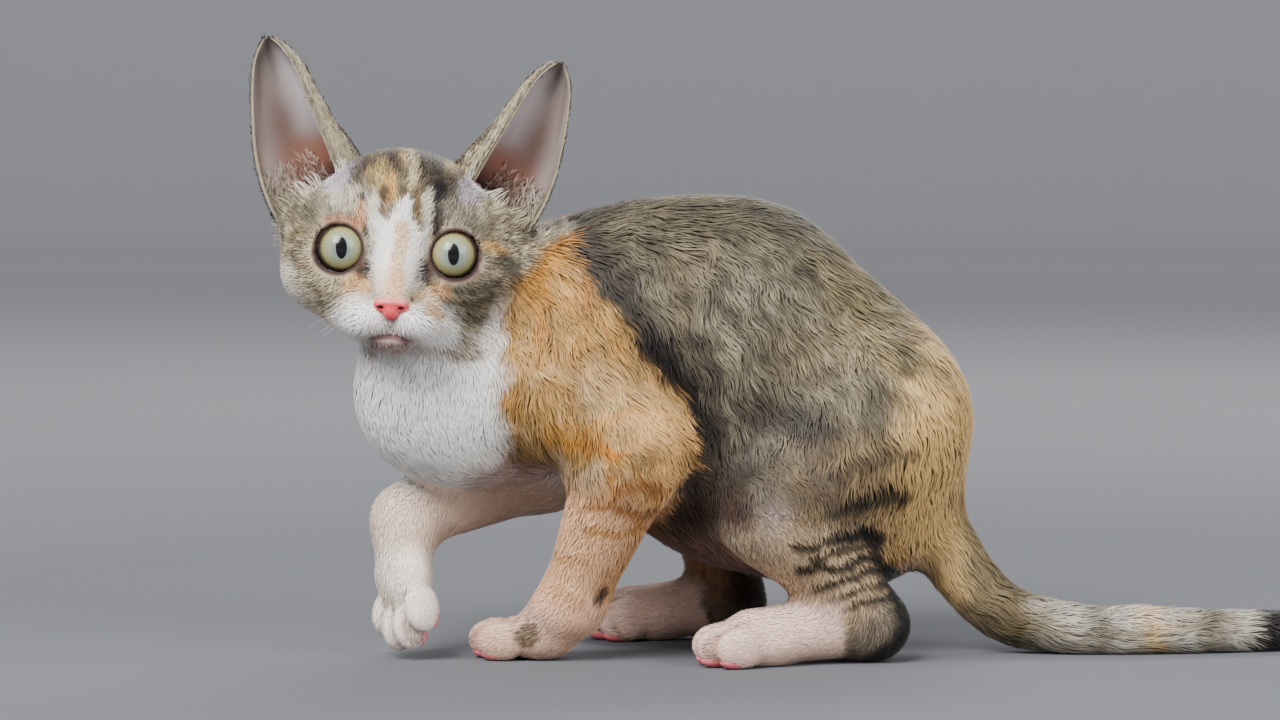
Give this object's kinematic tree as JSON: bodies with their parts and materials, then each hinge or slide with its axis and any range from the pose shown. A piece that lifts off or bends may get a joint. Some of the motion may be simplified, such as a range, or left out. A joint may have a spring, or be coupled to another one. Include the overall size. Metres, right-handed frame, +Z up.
{
  "type": "cat model",
  "caption": "Still, life-size devon rex kitten, stalking low with one forepaw lifted, large cupped ears and a tail laid along the floor.",
  "frame": {"origin": "middle of the whole model's footprint, at the level of the floor it stands on", "axes": "+X from the head towards the tip of the tail, +Y away from the side it faces, +Z up"},
  "size_m": [0.3904, 0.1328, 0.203],
  "materials": {
    "coat": "short wavy fur, tabby grey-brown, cream and orange with white face, chest and feet",
    "eye": "wet, pale yellow-green iris with a slit pupil",
    "nose": "matt pink leather"
  },
  "bodies": {
    "root": {"head": "coat", "ear_left": "coat", "ear_right": "coat", "eye_left": "eye", "eye_right": "eye", "nose": "nose", "neck": "coat", "torso": "coat", "tail": "coat", "foreleg_left": "coat", "foreleg_right": "coat", "forepaw_left": "coat", "forepaw_right": "coat", "hindleg_left": "coat", "hindleg_right": "coat", "hindpaw_left": "coat", "hindpaw_right": "coat"}
  },
  "joints": []
}
